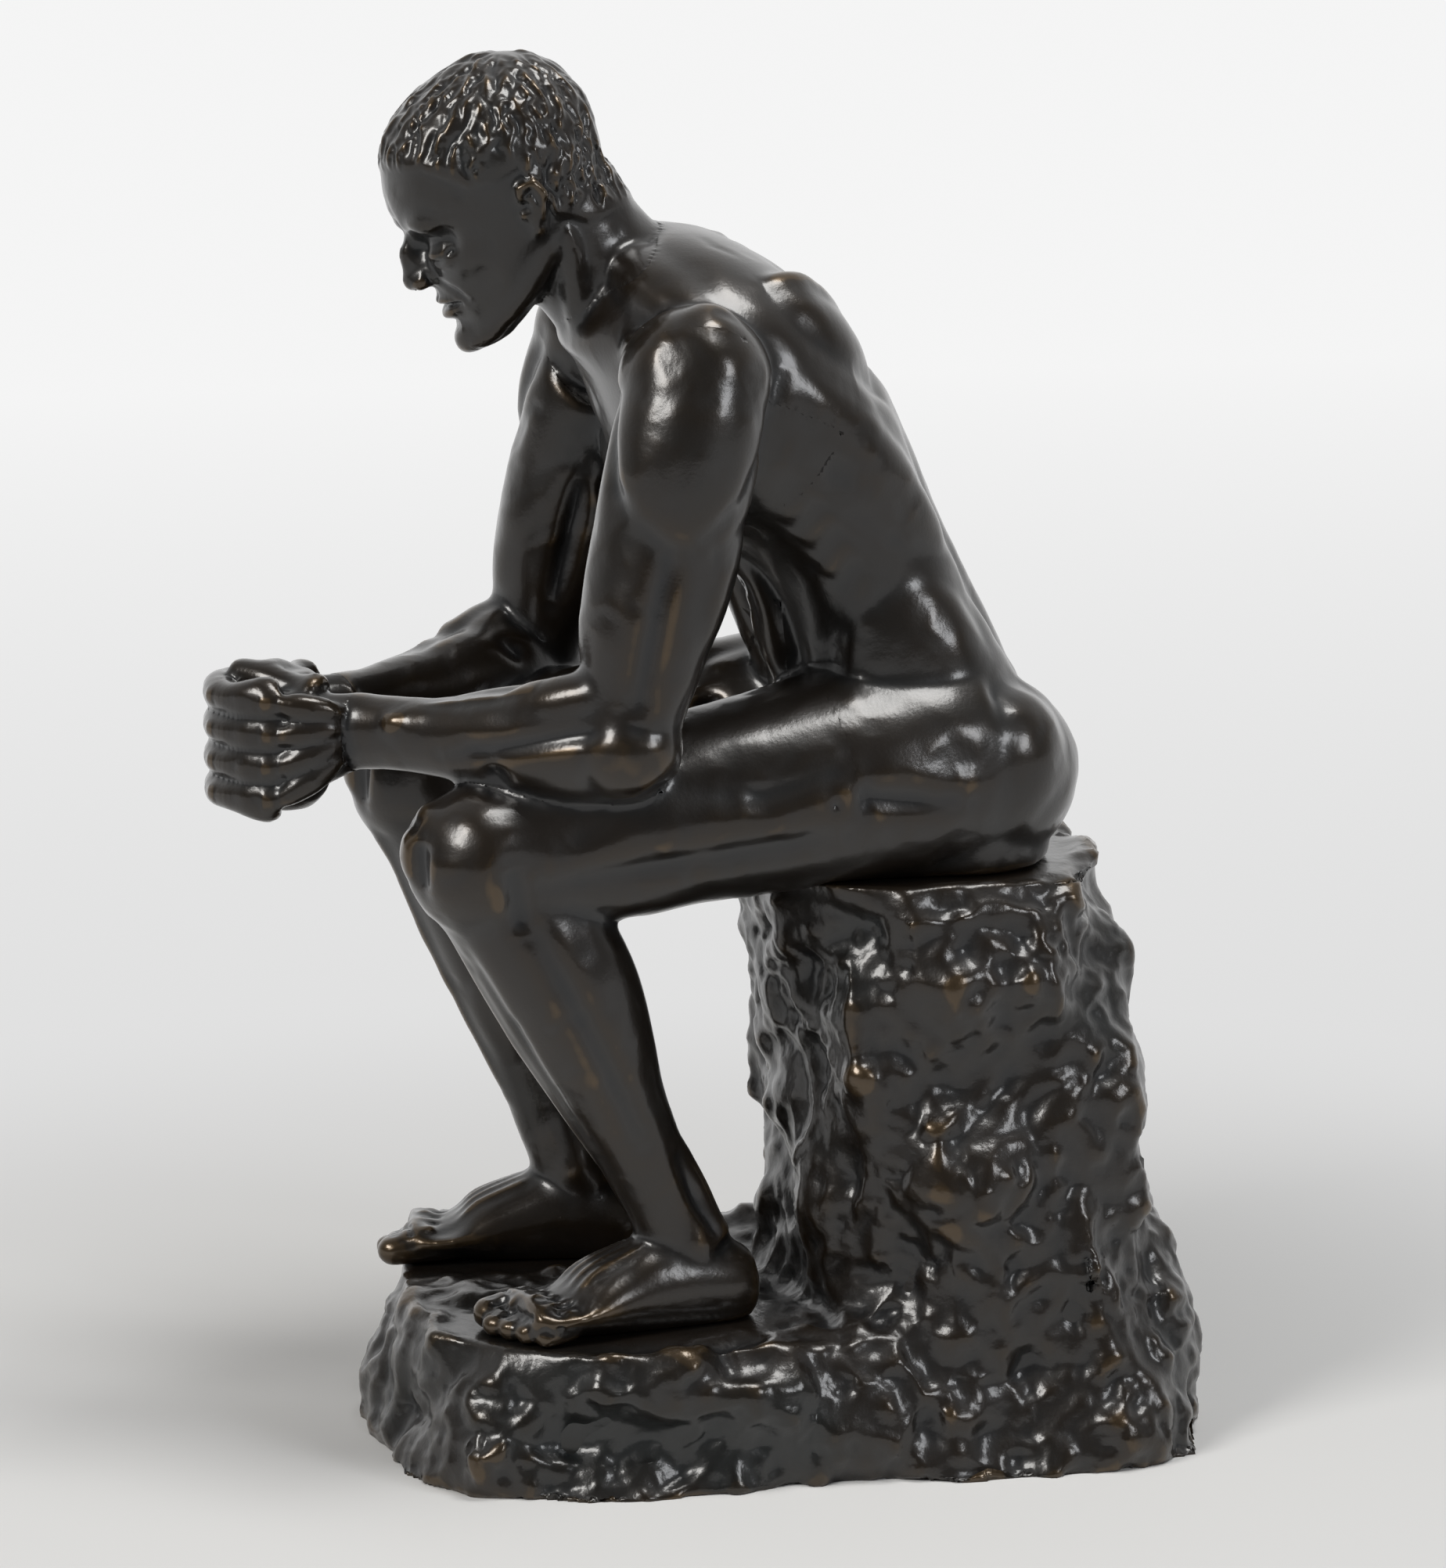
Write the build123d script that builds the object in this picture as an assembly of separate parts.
from build123d import *
from collections import namedtuple
from math import cos, pi, radians, sin, sqrt
import os

# A seated, pensive bronze figure on a hollow rock, cast in sections that are joined on pinned tenons.
# Millimetres. +Z is up, the figure faces -Y, and its left side is +X.
# The origin is on the floor, under the middle of the whole object.

# Driving dimensions of the figure
seat_height = 158.0
ledge_height = 38.0
trunk_length = 193.0
trunk_start_tilt = 2.0
trunk_end_tilt = 56.0
trunk_half_width = 50.0
trunk_depth = 33.0
trunk_below_seat = 5.0
trunk_set_back = 6.0
neck_length = 37.0
neck_tilt = 42.0
neck_radius = 19.0
head_height = 68.0
head_half_width = 23.5
head_half_length = 29.5
head_pitch = 28.0
skull_above_neck = 12.0
skull_before_neck = 8.0
nose_radius = 3.4
ear_radius = 7.0
hip_half_breadth = 26.0
hip_above_seat = 29.0
thigh_length = 126.0
thigh_radius = 28.0
knee_half_spread = 43.0
knee_radius = 20.5
shin_length = 122.0
calf_radius = 18.5
ankle_half_spread = 35.0
left_shin_slant = 27.0
right_shin_slant = 20.0
ankle_height = 22.0
foot_length = 77.0
foot_half_width = 15.5
heel_length = 20.0
sole_axis_height = 9.0
foot_turn_out = 9.0
toe_radius = 4.6
buttock_radius = 27.0
shoulder_half_breadth = 55.0
shoulder_before_spine = 8.0
shoulder_cap_radius = 20.0
upper_arm_length = 96.0
upper_arm_radius = 18.0
forearm_length = 78.0
forearm_radius = 14.5
elbow_radius = 15.0
wrist_half_gap = 15.0
wrist_forward = 152.0
wrist_height = 199.0
palm_half_width = 14.0
finger_radius = 4.6
hand_reach = 17.0
hand_drop = 4.0

# Driving dimensions of the rock
rock_wall = 5.0
rock_half_width = 84.0
rock_back = 84.0
rock_taper = 25.0
rock_lean = 30.0
seat_front = 46.0
seat_hollow = 8.0
ledge_front = 150.0
ledge_half_width = 78.0
ledge_taper = 9.0
rock_sides = 13
rim_roughness = 0.04
wall_roughness = 0.07

# Driving dimensions of the fastenings
fit_gap = 0.15
pin_gap = 0.05
stud_gap = 0.25
neck_tenon_radius = 8.0
neck_tenon_length = 9.0
shoulder_tenon_radius = 7.5
shoulder_tenon_length = 10.0
hip_tenon_radius = 11.0
hip_tenon_length = 14.0
wrist_tenon_radius = 3.6
wrist_tenon_length = 6.0
joint_pin_radius = 1.2
wrist_pin_radius = 0.8
pin_sink = 1.5
seat_stud_radius = 4.0
seat_stud_grip = 22.0
seat_stud_half_gap = 24.0
foot_stud_radius = 2.5
foot_stud_grip = 12.0
stud_tail = 1.5
washer_thickness = 1.6
nut_height_share = 0.8
core_plug_radius = 3.0

# A ring of a body form: its place along the bone, and its sizes as shares of the form's radius
Ring = namedtuple("Ring", "along width front back shift", defaults=[None, 0])


def at(x, forward, z):
    return Vector(x, -forward, z)


UP = Vector(0, 0, 1)
FORWARD = at(0, 1, 0)
LEFT, RIGHT = 1, -1

# Skeleton

trunk_turn = radians(trunk_end_tilt - trunk_start_tilt)
trunk_bend = trunk_length / trunk_turn


def trunk_plane(along):
    """The trunk's middle line is an arc that leans further forward as it rises."""
    start = radians(trunk_start_tilt)
    tilt = start + trunk_turn * along
    forward = trunk_bend * (cos(start) - cos(tilt)) - trunk_set_back
    height = trunk_bend * (sin(tilt) - sin(start)) + seat_height - trunk_below_seat
    return Plane(at(0, forward, height), x_dir=(-1, 0, 0), z_dir=at(0, sin(tilt), cos(tilt)))


def head_plane():
    """The middle of the skull, with the face along the plane's y and the crown along its z."""
    crown = at(0, sin(radians(head_pitch)), cos(radians(head_pitch)))
    face = at(0, cos(radians(head_pitch)), -sin(radians(head_pitch)))
    middle = neck_end() + crown * skull_above_neck + face * skull_before_neck
    return Plane(middle, x_dir=(-1, 0, 0), z_dir=crown)


def neck_start():
    return trunk_plane(0.93).origin


def neck_end():
    return neck_start() + at(0, sin(radians(neck_tilt)), cos(radians(neck_tilt))) * neck_length


def hip(side):
    return at(side * hip_half_breadth, 0, seat_height + hip_above_seat)


def shin_line(side):
    """From the knee to the ankle: back under the seat, a little inwards, and down."""
    back = shin_length * sin(radians(left_shin_slant if side == LEFT else right_shin_slant))
    inwards = knee_half_spread - ankle_half_spread
    return at(-side * inwards, -back, -sqrt(shin_length**2 - back**2 - inwards**2))


def knee(side):
    height = ledge_height + ankle_height - shin_line(side).Z
    rise = height - hip(side).Z
    spread = knee_half_spread - hip_half_breadth
    return at(side * knee_half_spread, sqrt(thigh_length**2 - rise**2 - spread**2), height)


def ankle(side):
    return knee(side) + shin_line(side)


def foot_direction(side):
    return at(side * sin(radians(foot_turn_out)), cos(radians(foot_turn_out)), 0)


def shoulder(side):
    line = trunk_plane(0.87)
    return line.origin + line.y_dir * shoulder_before_spine + Vector(side * shoulder_half_breadth, 0, 0)


def wrist(side):
    return at(side * wrist_half_gap, wrist_forward, wrist_height)


def elbow(side):
    """The elbow drops outwards and back from the line between the shoulder and the wrist."""
    reach = wrist(side) - shoulder(side)
    line = reach.normalized()
    upper_share = (upper_arm_length**2 - forearm_length**2 + reach.length**2) / (2 * reach.length)
    drop = sqrt(upper_arm_length**2 - upper_share**2)
    hang = at(side * 0.55, -0.55, -0.63)
    hang = (hang - line * hang.dot(line)).normalized()
    return shoulder(side) + line * upper_share + hang * drop


# Shapes


def oval(width, front, back, squareness=2.0, points=8):
    """A closed, rounded ring, deeper to the front or to the back."""
    ring = []
    for step in range(points):
        turn = 2 * pi * (step / points - 0.25)
        across = abs(cos(turn)) ** (2 / squareness) * (1 if cos(turn) > 0 else -1)
        deep = abs(sin(turn)) ** (2 / squareness) * (1 if sin(turn) > 0 else -1)
        ring.append((width * across, (front if deep > 0 else back) * deep))
    return make_face(Spline(ring, periodic=True))


def form(places, rings, half_width, half_depth, squareness=2.0, points=8):
    """A loft of oval rings, one on each place."""
    sections = []
    for place, ring in zip(places, rings):
        back = ring.front if ring.back is None else ring.back
        outline = oval(ring.width * half_width, ring.front * half_depth, back * half_depth, squareness, points)
        sections.append(place * Pos(0, ring.shift * half_depth) * outline)
    return loft(sections)


def limb(start, end, front, radius, rings):
    """A form along a straight bone, with front as the way that the limb's front faces."""
    bone = end - start
    places = [Plane(start + bone * ring.along, x_dir=front.cross(bone), z_dir=bone) for ring in rings]
    return form(places, rings, radius, radius)


def ball(centre, radius, axis=UP, seam=FORWARD):
    """A sphere whose poles lie on the axis, and whose seam faces the given way."""
    return Plane(centre, x_dir=seam, z_dir=axis) * Sphere(radius)


def round_rod(start, end, start_radius, end_radius):
    """A tapered rod with round ends, as a joint of a finger or toe."""
    length = (end - start).length
    slant = sqrt(0.5)
    start_mid = (slant * start_radius, -slant * start_radius)
    end_mid = (slant * end_radius, length + slant * end_radius)
    outline = (
        ThreePointArc((0, -start_radius), start_mid, (start_radius, 0))
        + Line((start_radius, 0), (end_radius, length))
        + ThreePointArc((end_radius, length), end_mid, (0, length + end_radius))
        + Line((0, length + end_radius), (0, -start_radius))
    )
    rod = revolve(make_face(outline), Axis.Y)
    return Plane(start, z_dir=end - start) * Rot(90, 0, 0) * rod


def drum(plane, radius, length):
    return plane * Cylinder(radius, length, align=(Align.CENTER, Align.CENTER, Align.MIN))


# Body forms

trunk_rings = [
    Ring(0.0, 0.98, 0.92, 1.02),
    Ring(0.14, 1.04, 0.95, 1.06),
    Ring(0.30, 0.92, 0.86, 0.92),
    Ring(0.43, 0.83, 0.80, 0.84),
    Ring(0.60, 0.94, 0.86, 0.96),
    Ring(0.74, 1.06, 1.08, 1.04),
    Ring(0.86, 1.04, 0.88, 0.96),
    Ring(0.95, 0.78, 0.64, 0.74),
    Ring(1.0, 0.42, 0.48, 0.50),
]
neck_rings = [Ring(0.0, 1.15, 1.15), Ring(0.35, 0.98, 1.0), Ring(0.7, 0.96, 1.0), Ring(1.1, 1.0, 1.05)]
head_rings = [
    Ring(0.0, 0.30, 0.20, shift=0.66),
    Ring(0.06, 0.50, 0.38, shift=0.56),
    Ring(0.18, 0.74, 0.64, shift=0.25),
    Ring(0.32, 0.90, 0.84, shift=0.08),
    Ring(0.48, 0.97, 0.94, shift=-0.02),
    Ring(0.62, 1.0, 1.0, shift=-0.02),
    Ring(0.78, 0.93, 0.92, shift=-0.05),
    Ring(0.90, 0.70, 0.70, shift=-0.08),
    Ring(0.97, 0.38, 0.40, shift=-0.10),
    Ring(1.0, 0.12, 0.14, shift=-0.10),
]
thigh_rings = [
    Ring(-0.1, 1.05, 1.05, 1.12),
    Ring(0.15, 1.12, 1.08, 1.08),
    Ring(0.4, 1.0, 1.0, 0.90),
    Ring(0.65, 0.88, 0.90, 0.82),
    Ring(0.85, 0.76, 0.78, 0.74),
    Ring(1.0, 0.70, 0.72, 0.70),
]
shin_rings = [
    Ring(0.0, 0.98, 1.0, 1.0),
    Ring(0.12, 0.95, 0.92, 1.05),
    Ring(0.30, 1.05, 0.85, 1.28),
    Ring(0.50, 0.92, 0.75, 1.08),
    Ring(0.72, 0.64, 0.62, 0.72),
    Ring(0.90, 0.56, 0.60, 0.62),
    Ring(1.03, 0.62, 0.66, 0.70),
]
foot_rings = [
    Ring(0.0, 0.36, 0.40, 0.40),
    Ring(0.06, 0.68, 0.72, 0.75),
    Ring(0.20, 0.82, 1.0, 0.80),
    Ring(0.32, 0.86, 1.10, 0.75),
    Ring(0.50, 0.92, 0.80, 0.70),
    Ring(0.68, 1.06, 0.48, 0.60),
    Ring(0.80, 1.05, 0.34, 0.60),
    Ring(0.88, 0.92, 0.26, 0.50),
]
upper_arm_rings = [
    Ring(0.0, 0.80, 0.80),
    Ring(0.18, 1.04, 1.08),
    Ring(0.40, 0.98, 1.06),
    Ring(0.60, 0.94, 1.04),
    Ring(0.82, 0.82, 0.84),
    Ring(1.0, 0.76, 0.74),
]
forearm_rings = [
    Ring(0.0, 0.86, 0.86),
    Ring(0.15, 1.06, 1.0),
    Ring(0.35, 1.06, 0.96),
    Ring(0.60, 0.84, 0.76),
    Ring(0.85, 0.70, 0.56),
    Ring(1.0, 0.72, 0.52),
]
ear_rings = [Ring(0.0, 0.22, 0.25), Ring(0.3, 0.42, 0.42), Ring(0.75, 0.60, 0.45), Ring(1.0, 0.30, 0.25)]
finger_rings = [
    Ring(0.0, 1.0, 1.0),
    Ring(0.22, 1.08, 1.08),
    Ring(0.42, 0.95, 0.95),
    Ring(0.58, 1.04, 1.04),
    Ring(0.80, 0.94, 0.92),
    Ring(0.95, 0.78, 0.70),
    Ring(1.0, 0.40, 0.34),
]
fist_rings = [Ring(0.0, 0.50, 0.50), Ring(0.2, 0.92, 0.92), Ring(0.5, 1.0, 1.0), Ring(0.8, 0.92, 0.92), Ring(1.0, 0.50, 0.50)]
palm_rings = [Ring(0.0, 0.72, 0.52), Ring(0.23, 0.72, 0.52), Ring(0.6, 0.92, 0.50), Ring(1.0, 1.04, 0.44)]


def trunk():
    places = [trunk_plane(ring.along) for ring in trunk_rings]
    return form(places, trunk_rings, trunk_half_width, trunk_depth, squareness=2.3, points=12)


def thigh(side):
    return limb(hip(side), knee(side), UP, thigh_radius, thigh_rings)


def foot(side):
    ahead = foot_direction(side)
    heel = ankle(side) - ahead * heel_length + UP * (ledge_height + sole_axis_height - ankle(side).Z)
    return limb(heel, heel + ahead * foot_length, UP, foot_half_width, foot_rings)


def shin(side):
    return limb(knee(side), ankle(side), FORWARD, calf_radius, shin_rings)


def arm(side):
    upper = limb(shoulder(side), elbow(side), FORWARD, upper_arm_radius, upper_arm_rings)
    fore = limb(elbow(side), wrist(side), Vector(side, 0, 0), forearm_radius, forearm_rings)
    return upper + shoulder_cap(side) + fore + ball(elbow(side), elbow_radius)


def shoulder_cap(side):
    return ball(shoulder(side), shoulder_cap_radius, shoulder_cut(side).z_dir, UP)


def neck():
    return limb(neck_start(), neck_end(), FORWARD, neck_radius, neck_rings)


def skull():
    middle = head_plane()
    places = []
    for ring in head_rings:
        level = middle.origin + middle.z_dir * ((ring.along - 0.54) * head_height)
        places.append(Plane(level, x_dir=middle.x_dir, z_dir=middle.z_dir))
    return form(places, head_rings, head_half_width, head_half_length, squareness=2.15, points=12)


def toes(side):
    """A big toe and four smaller ones, side by side at the front of the foot."""
    ahead = foot_direction(side)
    outwards = ahead.cross(UP) * -side
    heel = ankle(side) - ahead * heel_length + UP * (ledge_height - ankle(side).Z)
    rods = []
    for across, tip, size in toe_row:
        radius = toe_radius * size
        root = heel + ahead * (foot_length * 0.74) + outwards * (across * foot_half_width * 0.9) + UP * radius * 1.2
        end = heel + ahead * (foot_length * tip - radius) + outwards * (across * foot_half_width) + UP * radius * 0.9
        rods.append(round_rod(root, end, radius, radius * 0.92))
    return rods


# Where each toe lies across the foot from the inside out, how far its tip reaches, and its thickness
toe_row = [(-0.66, 1.0, 1.12), (-0.17, 1.0, 0.82), (0.17, 0.965, 0.78), (0.49, 0.925, 0.76), (0.79, 0.875, 0.74)]


# Rock


def rock_outline(front, back, half_width, level, roughness):
    """A rounded, uneven outline with flat cuts between its corners."""
    middle, half_length = (front - back) / 2, (front + back) / 2
    corners = []
    for step in range(rock_sides):
        turn = 2 * pi * (step + 0.5) / rock_sides
        chip = 1 - roughness * (1 + sin(2.7 * step + 1.9 * level))
        across = abs(cos(turn)) ** 0.7 * (1 if cos(turn) > 0 else -1)
        deep = abs(sin(turn)) ** 0.7 * (1 if sin(turn) > 0 else -1)
        corners.append((half_width * across * chip, -middle - half_length * deep * chip))
    return make_face(Polyline(corners, close=True))


# How far up each hewn ring of the seat block lies, and how much of the hollow, lean and taper it has
seat_levels = [
    (0.0, 0.0, 0.0, 0.0), (0.16, 0.6, 0.12, 0.3), (0.33, 1.0, 0.30, 0.5), (0.50, 1.0, 0.48, 0.6),
    (0.68, 1.0, 0.66, 0.66), (0.84, 0.6, 0.82, 0.75), (0.95, 0.0, 0.93, 0.85), (1.0, 0.25, 1.0, 1.0),
]
ledge_levels = [(0.0, 0.0), (0.35, 0.2), (0.70, 0.5), (1.0, 1.0)]


def seat_block(inset):
    """The tall block under the seat, drawn in where the heels stand, and leaning back to a wide foot."""
    levels = [
        (share, seat_front - seat_hollow * hollow, rock_back - rock_lean * lean, rock_half_width - rock_taper * taper)
        for share, hollow, lean, taper in seat_levels
    ]
    return rock_loft(levels, seat_height, inset)


def ledge_block(inset):
    """The low shelf that the feet stand on."""
    levels = [
        (share, ledge_front - ledge_taper * taper, 0, ledge_half_width - ledge_taper * taper)
        for share, taper in ledge_levels
    ]
    return rock_loft(levels, ledge_height, inset)


def rock_loft(levels, height, inset):
    """A hewn block: its foot and its top keep a cleaner rim than the walls between them."""
    sections = []
    for number, (share, front, back, half_width) in enumerate(levels):
        roughness = rim_roughness if share in (0.0, 1.0) else wall_roughness
        outline = rock_outline(front - inset, back - inset, half_width - inset, number, roughness)
        sections.append(Pos(0, 0, (height - inset) * share) * outline)
    return loft(sections, ruled=True)


# Joints between the castings


def neck_cut():
    line = neck_end() - neck_start()
    return Plane(neck_start() + line * 0.34, x_dir=(1, 0, 0), z_dir=line)


def shoulder_cut(side):
    """From the top of the shoulder down to the armpit."""
    down = (elbow(side) - shoulder(side)).normalized()
    return Plane(shoulder(side), x_dir=FORWARD, z_dir=Vector(side, 0, 0) * 0.75 + down * 0.66)


def hip_cut(side):
    line = knee(side) - hip(side)
    return Plane(hip(side) + line * 0.24, x_dir=(1, 0, 0), z_dir=line)


def wrist_cut(side):
    return Plane(wrist(side), x_dir=UP, z_dir=wrist(side) - elbow(side))


def tenon(plane, radius, length):
    """The stub that one casting pushes into the next, rooted in its own casting."""
    return drum(plane.offset(-radius), radius, length + radius)


def socket(plane, radius, length):
    """The bore for a tenon, open all the way back to the tenon's root."""
    return drum(plane.offset(-radius), radius + fit_gap, length + radius + fit_gap)


def cross_drums(joint, radius, reach):
    """Two drums across a sleeve joint, each from inside the tenon outwards."""
    middle = joint.plane.origin + joint.plane.z_dir * (joint.tenon_length / 2)
    start = joint.tenon_radius * 0.3
    drums = []
    for way in (joint.plane.x_dir, joint.plane.x_dir * -1):
        drums.append(drum(Plane(middle + way * start, z_dir=way), radius, reach - start))
    return drums


# Every sleeve joint: the plane between the castings, the tenon's size, and how far its pins reach
Joint = namedtuple("Joint", "plane tenon_radius tenon_length pin_reach pin_radius")


def neck_joint():
    reach = neck_radius * 0.95 - pin_sink
    return Joint(neck_cut(), neck_tenon_radius, neck_tenon_length, reach, joint_pin_radius)


def shoulder_joint(side):
    reach = upper_arm_radius - pin_sink
    return Joint(shoulder_cut(side), shoulder_tenon_radius, shoulder_tenon_length, reach, joint_pin_radius)


def hip_joint(side):
    reach = thigh_radius - pin_sink
    return Joint(hip_cut(side), hip_tenon_radius, hip_tenon_length, reach, joint_pin_radius)


def wrist_joint(side):
    reach = forearm_radius * 0.72 - pin_sink
    return Joint(wrist_cut(side), wrist_tenon_radius, wrist_tenon_length, reach, wrist_pin_radius)


def pins_of(joint):
    return cross_drums(joint, joint.pin_radius, joint.pin_reach)


def with_tenon(casting, joint):
    """The stub of a casting, drilled for its pins before it is joined on."""
    stub = tenon(joint.plane, joint.tenon_radius, joint.tenon_length)
    return casting + (stub - cross_drums(joint, joint.pin_radius + pin_gap, joint.tenon_radius * 1.5))


def with_socket(casting, joint):
    """A casting bored for its neighbour's tenon, and drilled from outside for the pins."""
    casting -= socket(joint.plane, joint.tenon_radius, joint.tenon_length)
    return casting - cross_drums(joint, joint.pin_radius + pin_gap, joint.pin_reach * 1.6)


# Studs, washers and nuts


def seat_stud_place(side):
    return at(side * seat_stud_half_gap, -4, seat_height)


def foot_stud_place(side):
    return ankle(side) + foot_direction(side) * heel_length * 0.4 + UP * (ledge_height - ankle(side).Z)


def nut_height(radius):
    return radius * 2 * nut_height_share


def stud(place, radius, grip):
    """A stud from inside the casting, down through the rock's wall, to just past its nut."""
    below = rock_wall + washer_thickness + nut_height(radius) + stud_tail
    return drum(Plane(place - UP * below), radius, below + grip)


def stud_hole(place, radius, grip):
    return drum(Plane(place - UP * rock_wall * 2), radius + stud_gap, rock_wall * 2 + grip + fit_gap)


def washer(place, radius):
    seat = Plane(place - UP * (rock_wall + washer_thickness))
    return drum(seat, radius * 2.1, washer_thickness) - drum(seat, radius + stud_gap, washer_thickness)


def nut(place, radius):
    seat = Plane(place - UP * (rock_wall + washer_thickness + nut_height(radius)))
    block = extrude(seat * RegularPolygon(radius * 1.85, 6), nut_height(radius))
    return block - drum(seat, radius + pin_gap, nut_height(radius))


# Castings


def rock_outer():
    return seat_block(0) + ledge_block(0)


def core_plug_drums():
    """Round plugs through the rock's walls, where pins held the core."""
    drums = []
    for side in (LEFT, RIGHT):
        for share in (0.3, 0.7):
            place = at(side * rock_half_width * 0.5, -rock_back * 0.3, seat_height * share)
            drums.append(drum(Plane(place, z_dir=(side, 0, 0)), core_plug_radius, rock_half_width * 0.7))
    return drums


def rock_shell():
    shell = rock_outer() - seat_block(rock_wall) - ledge_block(rock_wall)
    for side in (LEFT, RIGHT):
        shell -= stud_hole(seat_stud_place(side), seat_stud_radius, seat_stud_grip)
        shell -= stud_hole(foot_stud_place(side), foot_stud_radius, foot_stud_grip)
    return shell


def torso_form(rock):
    """The torso before its tenons are joined on."""
    body = trunk() + neck()
    for side in (LEFT, RIGHT):
        body += split(shoulder_cap(side), shoulder_cut(side), keep=Keep.BOTTOM)
    for side in (LEFT, RIGHT):
        out = Vector(side, 0, 0)
        body += ball(hip(side) - out * 2 - FORWARD * 16 - UP * 4, buttock_radius)
        body += split(thigh(side), hip_cut(side), keep=Keep.BOTTOM)
    body = split(body, neck_cut(), keep=Keep.BOTTOM) - rock
    for side in (LEFT, RIGHT):
        body -= stud_hole(seat_stud_place(side), seat_stud_radius, seat_stud_grip)
    return body


def torso_casting(body):
    for side in (LEFT, RIGHT):
        body = with_tenon(body, hip_joint(side))
        body = with_tenon(body, shoulder_joint(side))
    return with_tenon(body, neck_joint())


def head_casting():
    middle = head_plane()

    def on_head(side, along, forward):
        level = middle.z_dir * ((along - 0.54) * head_height)
        return middle.origin + level + Vector(side * head_half_width, 0, 0) + middle.y_dir * forward * head_half_length

    head = split(skull() + neck(), neck_cut(), keep=Keep.TOP)
    head += round_rod(on_head(0, 0.52, 0.90), on_head(0, 0.36, 1.06), nose_radius * 0.6, nose_radius)
    head += round_rod(on_head(0.5, 0.555, 0.76), on_head(-0.5, 0.555, 0.76), nose_radius * 1.4, nose_radius * 1.4)
    for side in (LEFT, RIGHT):
        lobe, tip = on_head(side * 0.88, 0.33, -0.04), on_head(side * 0.99, 0.55, -0.12)
        head += limb(lobe, tip, Vector(side, 0, 0), ear_radius, ear_rings)
    return with_socket(head, neck_joint())


def arm_casting(side):
    """From the shoulder's joint to the wrist, with the forearm seated on the thigh."""
    piece = split(arm(side), shoulder_cut(side), keep=Keep.TOP) - trunk()
    piece = piece - thigh(side) - ball(knee(side), knee_radius)
    piece = with_socket(piece, shoulder_joint(side))
    return with_tenon(piece, wrist_joint(side))


def leg_casting(side, rock, body):
    leg = split(thigh(side), hip_cut(side), keep=Keep.TOP)
    leg += ball(knee(side), knee_radius)
    leg += shin(side)
    leg += foot(side)
    for toe in toes(side):
        leg += toe
    leg = leg - rock - body
    leg = with_socket(leg, hip_joint(side))
    return leg - stud_hole(foot_stud_place(side), foot_stud_radius, foot_stud_grip)


def curled_finger(middle, level, reach):
    """A finger of the left hand, bent round the right fist from its left side to its right."""
    places = []
    for ring in finger_rings:
        turn = radians(12 + 163 * ring.along)
        point = middle + at(reach * cos(turn), reach * sin(turn), level)
        places.append(Plane(point, x_dir=UP, z_dir=at(-sin(turn), cos(turn), 0)))
    return form(places, finger_rings, finger_radius, finger_radius)


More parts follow.
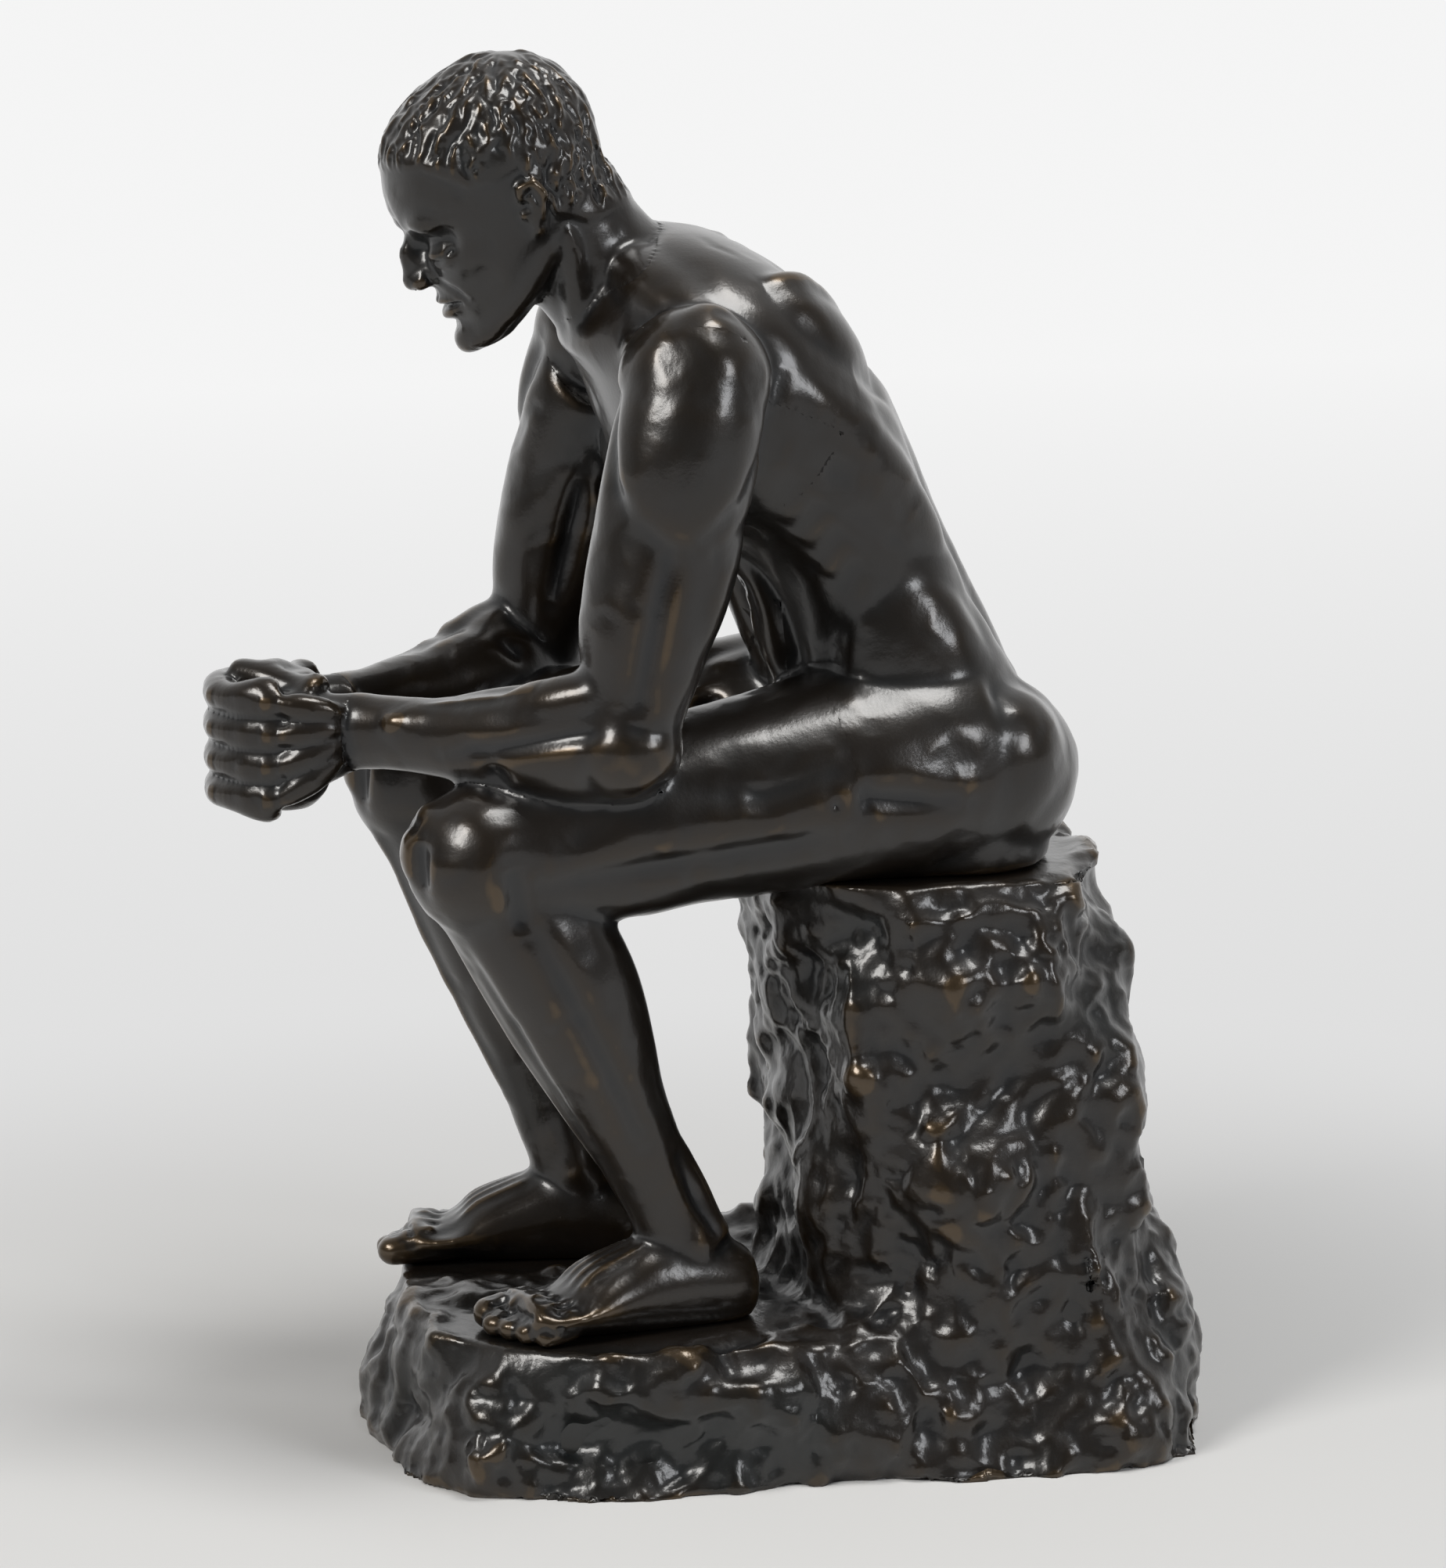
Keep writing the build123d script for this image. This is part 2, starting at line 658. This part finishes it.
def hands_casting():
    """The right hand closes into a loose fist, and the left hand folds round it."""
    middle = at(0, wrist_forward + hand_reach, wrist_height - hand_drop)
    fist = palm_half_width * 0.95
    hands = limb(middle - UP * fist * 1.4, middle + UP * fist * 1.4, FORWARD, fist, fist_rings)
    for side in (LEFT, RIGHT):
        knuckles = middle + at(side * fist * 1.05, fist * 0.4, 0)
        start = wrist(side) - (knuckles - wrist(side)) * 0.3
        palm = limb(start, knuckles, Vector(side, 0, 0), palm_half_width, palm_rings)
        hands += split(palm, wrist_cut(side), keep=Keep.TOP)
    for number in range(4):
        hands += curled_finger(middle, (1.5 - number) * finger_radius * 1.9, fist * 1.3)
    for side in (LEFT, RIGHT):
        thumb_root = middle + at(side * 1.0, -0.6, 0.95) * fist
        thumb_tip = middle + at(-side * 0.3, 0.75 + side * 0.25, 1.4) * fist
        hands += limb(thumb_root, thumb_tip, UP, finger_radius, finger_rings)
    for side in (LEFT, RIGHT):
        hands = with_socket(hands, wrist_joint(side))
    return hands


def one_node(solids):
    """Loose pieces of one kind, kept together as one node."""
    return Compound([piece for solid in solids for piece in solid.solids()])


def build_pieces():
    rock = rock_outer()
    shell = rock_shell()
    plug_drums = core_plug_drums()
    sides = (LEFT, RIGHT)
    body = torso_form(rock)
    legs = {side: leg_casting(side, rock, body) for side in sides}
    arms = {side: arm_casting(side) for side in sides}
    seat_places = [seat_stud_place(side) for side in sides]
    foot_places = [foot_stud_place(side) for side in sides]
    return {
        "torso": torso_casting(body),
        "head": head_casting(),
        "left_arm": arms[LEFT],
        "right_arm": arms[RIGHT],
        "joined_hands": hands_casting(),
        "left_leg": legs[LEFT],
        "right_leg": legs[RIGHT],
        "rock_base": shell - plug_drums,
        "neck_pins": one_node(pins_of(neck_joint())),
        "shoulder_pins": one_node([pin for side in sides for pin in pins_of(shoulder_joint(side))]),
        "hip_pins": one_node([pin for side in sides for pin in pins_of(hip_joint(side))]),
        "wrist_pins": one_node([pin for side in sides for pin in pins_of(wrist_joint(side))]),
        "seat_studs": one_node([stud(place, seat_stud_radius, seat_stud_grip) for place in seat_places]),
        "seat_washers": one_node([washer(place, seat_stud_radius) for place in seat_places]),
        "seat_nuts": one_node([nut(place, seat_stud_radius) for place in seat_places]),
        "foot_studs": one_node([stud(place, foot_stud_radius, foot_stud_grip) for place in foot_places]),
        "foot_washers": one_node([washer(place, foot_stud_radius) for place in foot_places]),
        "foot_nuts": one_node([nut(place, foot_stud_radius) for place in foot_places]),
        "core_plugs": one_node([shell & plug for plug in plug_drums]),
    }


pieces = build_pieces()
whole = one_node(pieces.values()).bounding_box()
to_middle = Pos(-whole.center().X, -whole.center().Y, -whole.min.Z)
os.makedirs("parts", exist_ok=True)
for name, piece in pieces.items():
    export_step(to_middle * piece, f"parts/{name}.step")
    print(name, piece.is_valid, len(piece.solids()), round(piece.volume))
print("size", whole.size, "shift", to_middle.position)
